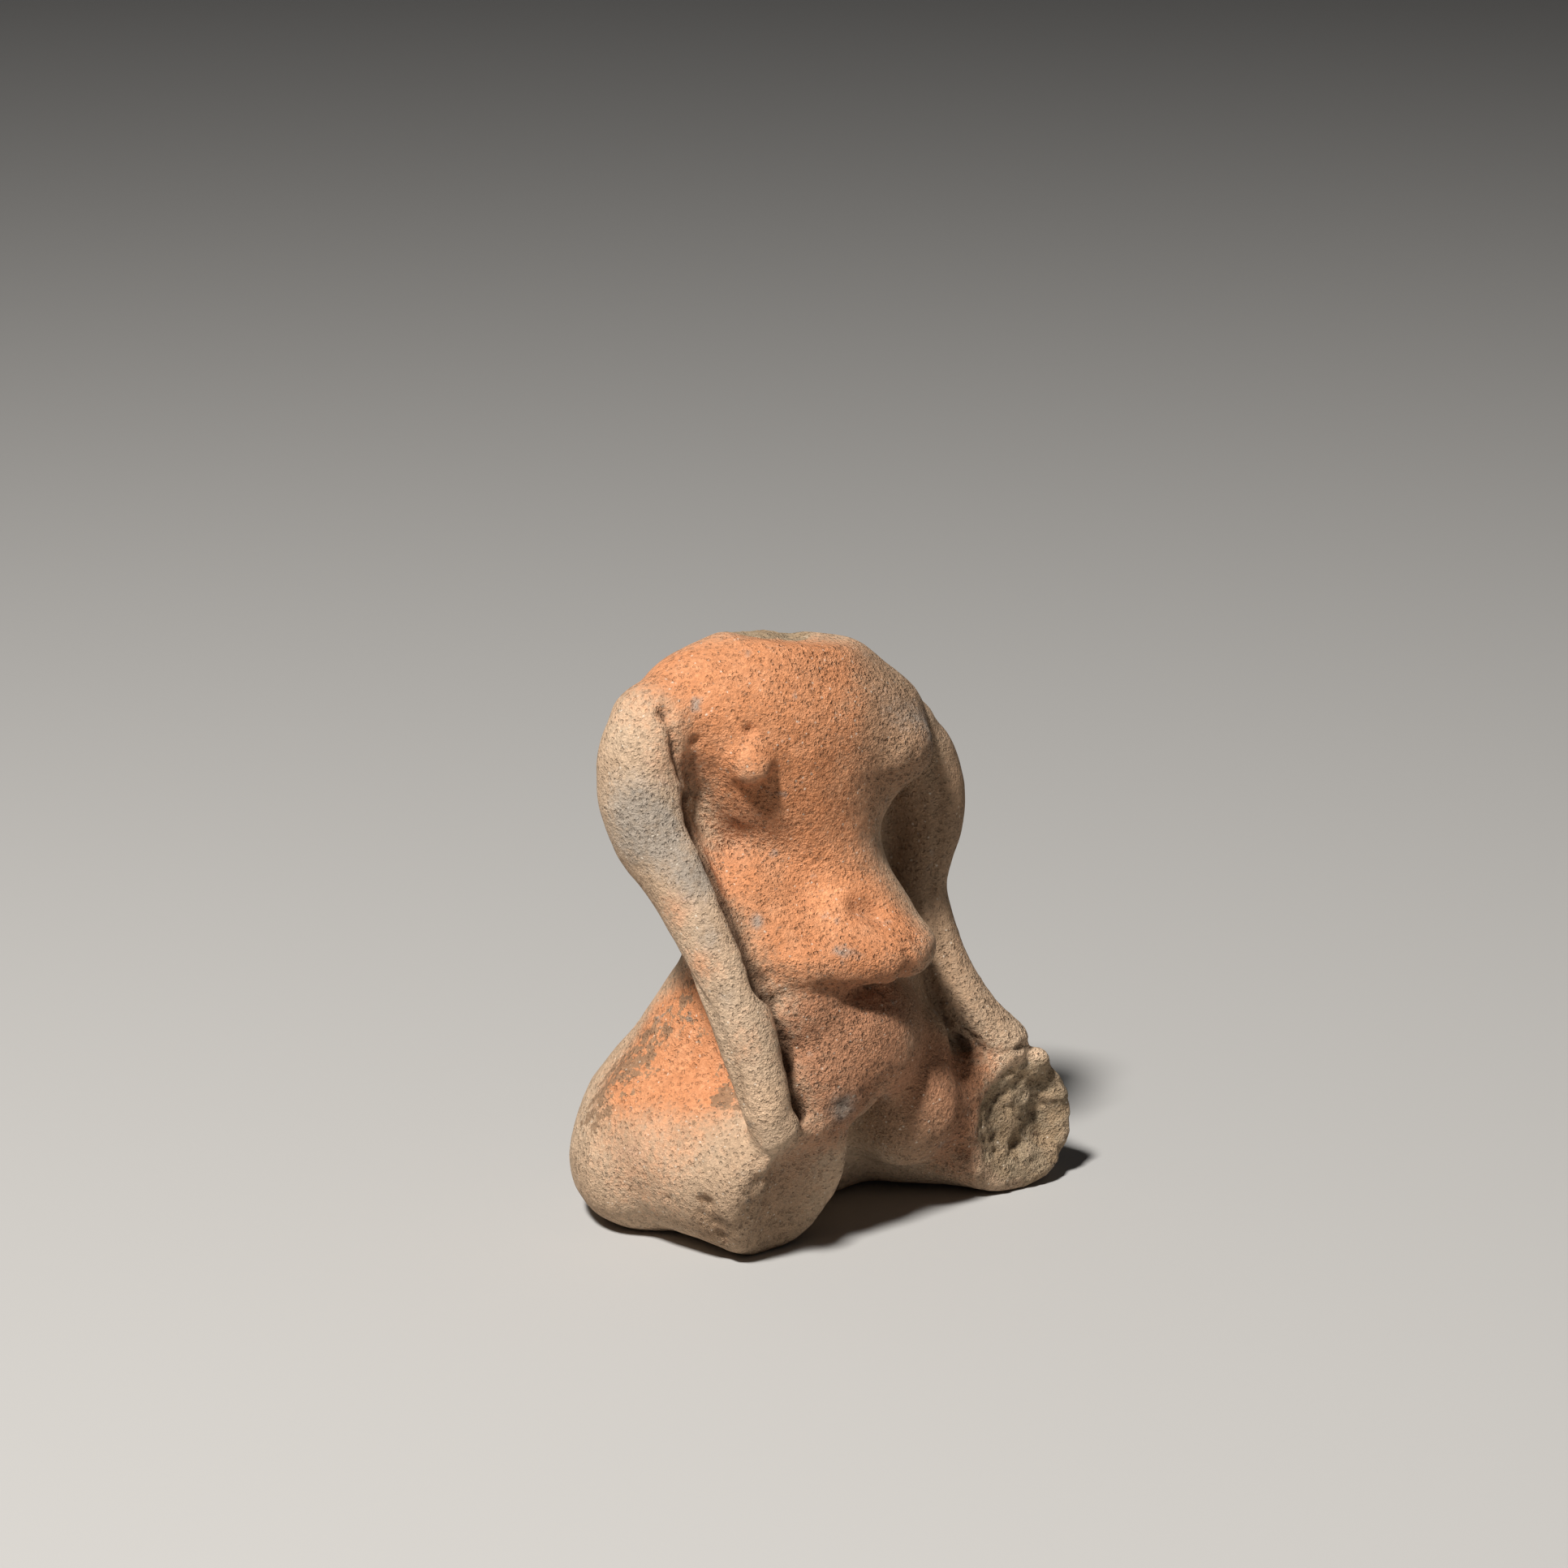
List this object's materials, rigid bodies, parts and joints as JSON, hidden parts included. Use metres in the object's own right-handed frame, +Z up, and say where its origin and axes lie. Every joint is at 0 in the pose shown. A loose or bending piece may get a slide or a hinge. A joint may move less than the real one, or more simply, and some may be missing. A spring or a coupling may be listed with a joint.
{
  "type": "seated clay figurine",
  "caption": "Headless, hand-modelled female figure of fired clay, seated with long arms pressed to its sides and hands on broken knees.",
  "frame": {"origin": "on the floor under the middle of the figure's bounding box", "axes": "+Z up from the underside to the broken neck; the figure faces -Y and its left side is +X"},
  "size_m": [0.0598, 0.0432, 0.0731],
  "materials": {
    "terracotta": "matt, coarse and sandy"
  },
  "bodies": {
    "root": {"statuette": "terracotta"}
  },
  "joints": []
}
